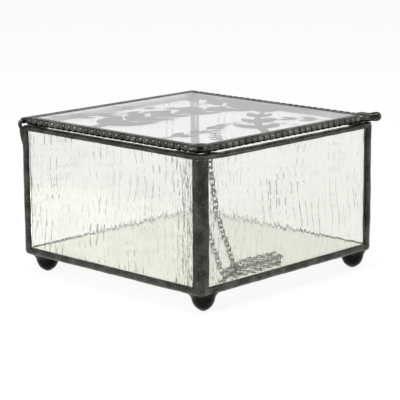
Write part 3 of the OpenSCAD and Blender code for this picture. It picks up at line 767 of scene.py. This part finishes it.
def beading(name, node, start, stop, inward):
    """Beaded wire along a straight edge of the lid. Its radius along one bead is the core's plus
    a swelling, which falls off from the bead's middle as a rounded power of the distance. The
    side against the lid is flat."""
    start, stop, inward = np.array([*start, AXIS_Z]), np.array([*stop, AXIS_Z]), np.array([*inward, 0.0])
    length = np.linalg.norm(stop - start)
    way = (stop - start) / length
    count = round(length / PITCH)
    along = np.linspace(0, length, count * 14 + 1)
    off = np.abs(2 * ((along / length * count) % 1) - 1)
    size = CORE + (BEAD - CORE) * (1 - off ** 2.6) ** 0.7
    points = hand_run(wire_rings(start + along[:, None] * way, size, inward), 0.035)
    deep = (points - start) @ inward - (BEAD_LINE - SEAT - PLAY)
    points -= np.maximum(deep, 0)[..., None] * inward
    points[..., 2] = np.clip(points[..., 2], AXIS_Z - BEAD, AXIS_Z + BEAD)
    closed_piece(name, points, node, body="lid", slot="beaded_wire")


wire_back = corners("beads_left")[1][1]
for label, start, stop, inward in (
        ("left", (-BEAD_LINE, -BEAD_LINE + BEND), (-BEAD_LINE, wire_back), (1, 0)),
        ("front", (-BEAD_LINE + BEND, -BEAD_LINE), (BEAD_LINE, -BEAD_LINE), (0, 1)),
        ("right", (BEAD_LINE, -BEAD_LINE), (BEAD_LINE, wire_back), (-1, 0))):
    beading("beading_" + label, "beads_" + label, start, stop, inward)


def bent_wire():
    """The wire round the near corner: a quarter circle with short straight ends, and a radius
    that swells a little to the middle as a sine. What would stand in the lid is moved out
    along the corner's diagonal, up to the lid's edge."""
    middle, end = BEND - BEAD_LINE, 0.4
    turn = np.radians(np.linspace(180, 270, 30))
    path = np.concatenate([[(-BEAD_LINE, middle + end)],
                           middle + BEND * np.stack([np.cos(turn), np.sin(turn)], -1),
                           [(middle + end, -BEAD_LINE)]])
    ahead = np.gradient(path, axis=0)
    ahead /= np.linalg.norm(ahead, axis=1)[:, None]
    outward = np.column_stack([ahead[:, 1], -ahead[:, 0], np.zeros(len(path))])
    size = BEAD - 0.1 + 0.08 * np.sin(np.linspace(0, np.pi, len(path)))
    points = wire_rings(np.column_stack([path, np.full(len(path), AXIS_Z)]), size, outward)
    points = hand_run(points, 0.06)
    points[..., :2] -= np.maximum(points[..., :2].min(-1, keepdims=True) + SEAT + PLAY, 0)
    closed_piece("beading_corner", points, "bead_corner", body="lid", slot="beaded_wire")


def egg(name, middle, *nodes, long, wide, tall, turn=0.0):
    """A lumpy egg of solder in a corner of the lid, turned in plan. Its half lengths are
    multiplied by the cosine of the rise and the cosine or sine of the angle round it, and its
    half height by the sine of the rise. It is cut flat below and at the highest place."""
    angle = round_angles(40)
    rise = np.linspace(-0.5 * np.pi + 0.05, 0.5 * np.pi - 0.05, 24)
    along, across = long * np.cos(rise) * np.cos(angle), wide * np.cos(rise) * np.sin(angle)
    points = stacked(middle[0] + along * math.cos(turn) - across * math.sin(turn),
                     middle[1] + along * math.sin(turn) + across * math.cos(turn),
                     middle[2] + tall * np.sin(rise))
    points = hand_run(points, 0.12)
    points[..., 2] = np.clip(points[..., 2], AXIS_Z - BEAD, TOP)
    closed_piece(name, points, *nodes, body="lid")


def knob():
    """The lift knob along the corner's diagonal: a neck that swells to a round end. Its radius
    goes from neck to end by a smooth step and closes by a quarter of an ellipse."""
    length, neck, end = 7.2, 1.8, 1.98
    along = np.concatenate([np.linspace(0, length - end, 26),
                            length - end + end * np.sin(np.linspace(0.1, 1.5, 12))])
    size = neck + (end - neck) * eased(ramp(along, 2.9, 1.8))
    size = size * np.sqrt(np.clip(1 - ((along - (length - end)) / end).clip(0, 0.999) ** 2, 0, 1))
    rise = math.radians(3.5)
    way = np.array([math.sqrt(0.5) * math.cos(rise), -math.sqrt(0.5) * math.cos(rise), math.sin(rise)])
    path = CORNER + (0, 0, 0.1) + along[:, None] * way
    points = hand_run(tube_along(path, size, 32), 0.05)
    points[..., 2] = np.minimum(points[..., 2], TOP)
    closed_piece("knob_solder", points, "lift_knob", body="lid")


bent_wire()
egg("lid_near_solder", (-46.4, -46.4, AXIS_Z), long=5.6, wide=3.9, tall=1.75, turn=-math.pi / 4)
egg("lid_corner_solder", CORNER + (-0.6, 0.7, 0.35), "lid_blob", long=4.6, wide=3.8, tall=1.95)
knob()


def rest(name, node):
    """A low dome of solder on the rim's corner, over its CAD pad: its height is the pad's in
    the middle and falls off as a power of a cosine to the edge, which is sunk in the rim."""
    low, high = corners(node)
    middle, hands = (low + high) / 2, np.sign(low[:2])
    wide, sunk = 3.6, 0.5
    turn = round_angles(40)
    out = np.linspace(1, 0.02, 14)
    points = stacked(middle[0] + wide * out * np.cos(turn), middle[1] + wide * out * np.sin(turn),
                     RIM_TOP - sunk + (high[2] - RIM_TOP + sunk) * np.cos(out * np.pi / 2) ** 0.6)
    # held inside the box's rounded corner
    beyond = np.maximum((points[..., :2] - hands * (HALF - ROUND)) * hands, 0)
    distance = np.maximum(np.linalg.norm(beyond, axis=-1, keepdims=True), 1e-6)
    points[..., :2] -= beyond * (1 - np.minimum(1, (ROUND - 0.15) / distance)) * hands
    closed_piece(name, points, node)


rest("rest_solder_left", "lid_rest_left")
rest("rest_solder_right", "lid_rest_right")


def frame_ring(name, low, high, section, material):
    """A frame round an oblong with mitred corners. Its closed section is given as distance
    outward from the oblong's edge and height."""
    out, height = section[:, :1], section[:, 1:]
    x = np.array([low[0], high[0], high[0], low[0]]) + out * (-1, 1, 1, -1)
    y = np.array([low[1], low[1], high[1], high[1]]) + out * (-1, -1, 1, 1)
    return grid_mesh(name, stacked(x, y, height), material, close_u=True, close_v=True, smooth=False)


# foil over the edges of the lid's glass: a thin lip above and below, silvered on the inside
edge_out = lid_low[0] - corners("lid_border")[0][0]
LIP, LIP_THICK = 0.9, 0.12
for name, z, up_by, nodes in (("lid_lip_top", lid_high[2], LIP_THICK, ["lid_border"]),
                              ("lid_lip_bottom", lid_low[2], -LIP_THICK, [])):
    lip_section = np.array([(-LIP, z), (-LIP + 0.1, z + up_by), (edge_out, z + up_by), (edge_out, z)])
    fitted(frame_ring(name, lid_low, lid_high, lip_section, finish["dark_solder"]), *nodes, body="lid")
foil_section = np.array([(0.01, lid_low[2]), (edge_out, lid_low[2]), (edge_out, lid_high[2]),
                         (0.01, lid_high[2])])
fitted(frame_ring("lid_foil", lid_low, lid_high, foil_section, bright_tin()), body="lid")


def ring_pad():
    """A low dome of solder under the glass that holds the chain's ring: its depth falls off as
    a power of a cosine to the edge."""
    low, high = corners("chain_ring_lid")
    middle, wide, deep = (low + high) / 2, 1.5, 1.9
    turn = round_angles(32)
    out = np.linspace(1, 0.03, 10)
    hang = (lid_low[2] - high[2] + 0.15) * np.cos(out * np.pi / 2) ** 0.7
    points = stacked(middle[0] + wide * out * np.cos(turn), middle[1] + deep * out * np.sin(turn),
                     lid_low[2] + 0.02 - hang)
    closed_piece("lid_ring_solder", points, body="lid")


ring_pad()


# ------------------------------------------------------------------ the print on the lid
PRINT_Z = lid_low[2] + 0.08                             # just inside the glass's underside
MARGIN = 2.2                                            # from the glass's edge to the print


def curve_points(start, turn, length, bend, count):
    """A stem in the plane: it starts at a point, heads along turn, and its heading changes
    steadily by bend over its length."""
    along = np.linspace(0, 1, count)
    heading = np.radians(turn + bend * along)
    step = length / (count - 1)
    x = start[0] + np.concatenate([[0], np.cumsum(np.cos(heading[:-1]) * step)])
    y = start[1] + np.concatenate([[0], np.cumsum(np.sin(heading[:-1]) * step)])
    return np.stack([x, y], -1), heading


def strip(line, heading, width):
    """A flat strip of ink along a line, as wide as width says at each point."""
    normal = np.stack([-np.sin(heading), np.cos(heading)], -1)
    edge = line[:, None, :] + normal[:, None, :] * (width[:, None] / 2 * np.array([-1, 0, 1]))[:, :, None]
    return np.concatenate([edge, np.full(edge.shape[:2] + (1,), PRINT_Z)], -1)


def sprig(start, turn, length, bend, stem, leaf, pairs, seed):
    """A stem with pairs of leaves and one at its end: each leaf is a strip whose width swells
    and closes again as a power of a sine, on a line that leaves the stem at a slant and bends
    forward along it."""
    thinnest = 0.02
    line, heading = curve_points(start, turn, length, bend, 40)
    shapes = [strip(line, heading, stem * np.linspace(1.0, 0.35, 40))]
    chance = np.random.default_rng(seed)
    t = np.linspace(0, 1, 22)
    for i in range(pairs):
        share = (i + 0.8) / (pairs + 0.3)
        at = int(share * 39)
        for hand in (-1, 1):
            lean = hand * (48 - 14 * share) + chance.uniform(-8, 8)
            size = leaf * (1.05 - 0.45 * share) * chance.uniform(0.85, 1.1)
            rib, rib_turn = curve_points(line[at], math.degrees(heading[at]) + lean, size, -hand * 26, 22)
            width = 0.42 * size * np.sin(np.pi * t ** 0.8) ** 0.85 + 0.25 * stem * (1 - t)
            shapes.append(strip(rib, rib_turn, np.maximum(width, thinnest)))
    rib, rib_turn = curve_points(line[-1], math.degrees(heading[-1]), leaf * 0.8, 12, 22)
    shapes.append(strip(rib, rib_turn, np.maximum(0.34 * leaf * np.sin(np.pi * t ** 0.8), thinnest)))
    return shapes


# start, heading, length, bend, width of the stem, size of the leaves, number of pairs, seed
SPRIGS = (
    ((-46, 14), 6, 84, -30, 5.6, 21, 6, 1),
    ((43, 48), -108, 66, 34, 4.4, 18, 5, 2),
    ((-8, -46), 58, 58, -34, 4.0, 16, 4, 3),
    ((-40, 48), -50, 40, 30, 3.0, 14, 3, 4),
    ((46, -14), 150, 46, -28, 3.2, 14, 4, 5),
    ((-46, -24), -12, 34, 30, 2.2, 11, 3, 6),
    ((30, -46), 105, 26, 40, 1.6, 10, 3, 7),
    ((-4, 48), -80, 30, 44, 1.4, 8, 3, 8),
    ((-34, -46), 62, 44, -52, 0.9, 4.5, 9, 9),
    ((46, 22), 172, 50, 40, 0.9, 4.5, 10, 10),
    ((14, -46), 96, 34, 60, 0.8, 4.0, 7, 11),
    ((-20, 48), -62, 46, -36, 0.8, 4.0, 9, 12),
)
# the strips become one mesh, each held on the glass and a hair below the one before
all_points, all_faces, base = [], [], 0
for n, shape in enumerate(shape for values in SPRIGS for shape in sprig(*values)):
    shape[..., :2] = np.clip(shape[..., :2], lid_low[:2] + MARGIN, lid_high[:2] - MARGIN)
    shape[..., 2] -= 0.0008 * n
    nu, nv = shape.shape[:2]
    number = np.arange(nu * nv).reshape(nu, nv) + base
    all_faces += np.stack([number[:-1, :-1], number[1:, :-1], number[1:, 1:], number[:-1, 1:]],
                          -1).reshape(-1, 4)[:, ::-1].tolist()
    all_points.append(shape.reshape(-1, 3))
    base += nu * nv
mesh = bpy.data.meshes.new("lid_print")
mesh.from_pydata((np.concatenate(all_points) * MM).tolist(), [], all_faces)
mesh.validate()
mesh.materials.append(print_ink())
lid_print = bpy.data.objects.new("lid_print", mesh)
scene.collection.objects.link(lid_print)
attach(lid_print, "lid")


# ------------------------------------------------------------------ room and light
def white_room():
    """A white floor that keeps a soft shadow, under a pale world that is white to look at."""
    material, tree, _ = new_material("white floor")
    ray = tree.nodes.new("ShaderNodeLightPath").outputs
    seen = math_node(tree, "MAXIMUM", ray["Is Camera Ray"],
                     math_node(tree, "MAXIMUM", ray["Is Glossy Ray"], ray["Is Transmission Ray"]))
    matte = add(tree, "ShaderNodeBsdfDiffuse", {"Color": (0.8, 0.8, 0.8, 1)})
    glow = add(tree, "ShaderNodeEmission", {"Color": (1, 1, 1, 1), "Strength": 1.0})
    surface(material, add(tree, "ShaderNodeMixShader", {
        0: math_node(tree, "MULTIPLY", seen, 0.9), 1: matte.outputs[0], 2: glow.outputs[0]}))
    edge = np.linspace(-3000.0, 3000.0, 3)
    floor = grid_mesh("floor", stacked(edge[:, None], edge, -0.02), material)

    world = bpy.data.worlds.new("world")
    scene.world = world
    world.use_nodes = True
    tree = world.node_tree
    tree.nodes.clear()
    out = tree.nodes.new("ShaderNodeOutputWorld")
    ray = tree.nodes.new("ShaderNodeLightPath").outputs
    seen = math_node(tree, "MAXIMUM", ray["Is Camera Ray"], ray["Is Transmission Ray"])
    # what metal and glass mirror: bright behind the box and on the picture's left, dim on the
    # camera's side, and dimmer overhead than round about
    way = tree.nodes.new("ShaderNodeTexCoord").outputs["Generated"]
    toward = add(tree, "ShaderNodeVectorMath", {0: way, 1: (-0.45, -0.88, -0.1)},
                 operation="DOT_PRODUCT").outputs["Value"]
    rise = add(tree, "ShaderNodeSeparateXYZ", {0: way}).outputs[2]
    shine = math_node(tree, "MULTIPLY", spread(tree, toward, -0.1, 0.85, 0.9, 0.17),
                      spread(tree, rise, 0.3, 0.75, 1.0, 0.45))
    level = add(tree, "ShaderNodeMix", {0: seen, 2: shine, 3: 1.0}, data_type="FLOAT").outputs[0]
    sky = add(tree, "ShaderNodeBackground", {"Color": (1, 1, 1, 1), "Strength": level})
    tree.links.new(sky.outputs[0], out.inputs[0])


def lamp(name, place_mm, aim_mm, size, power):
    """A square soft lamp at a place, turned to what it lights."""
    data = bpy.data.lights.new(name, "AREA")
    data.energy, data.size = power, size
    obj = bpy.data.objects.new(name, data)
    scene.collection.objects.link(obj)
    at, aim = Vector(place_mm) * MM, Vector(aim_mm) * MM
    obj.matrix_world = Matrix.Translation(at) @ (at - aim).to_track_quat("Z", "Y").to_matrix().to_4x4()


white_room()
lamp("key", (-900, 150, 700), (0, 0, 30), 0.6, 11)
lamp("fill", (500, -900, 500), (0, 0, 30), 0.8, 4)
lamp("top", (-100, -250, 1100), (0, 0, 30), 0.5, 8)

scene.view_settings.view_transform = "Standard"
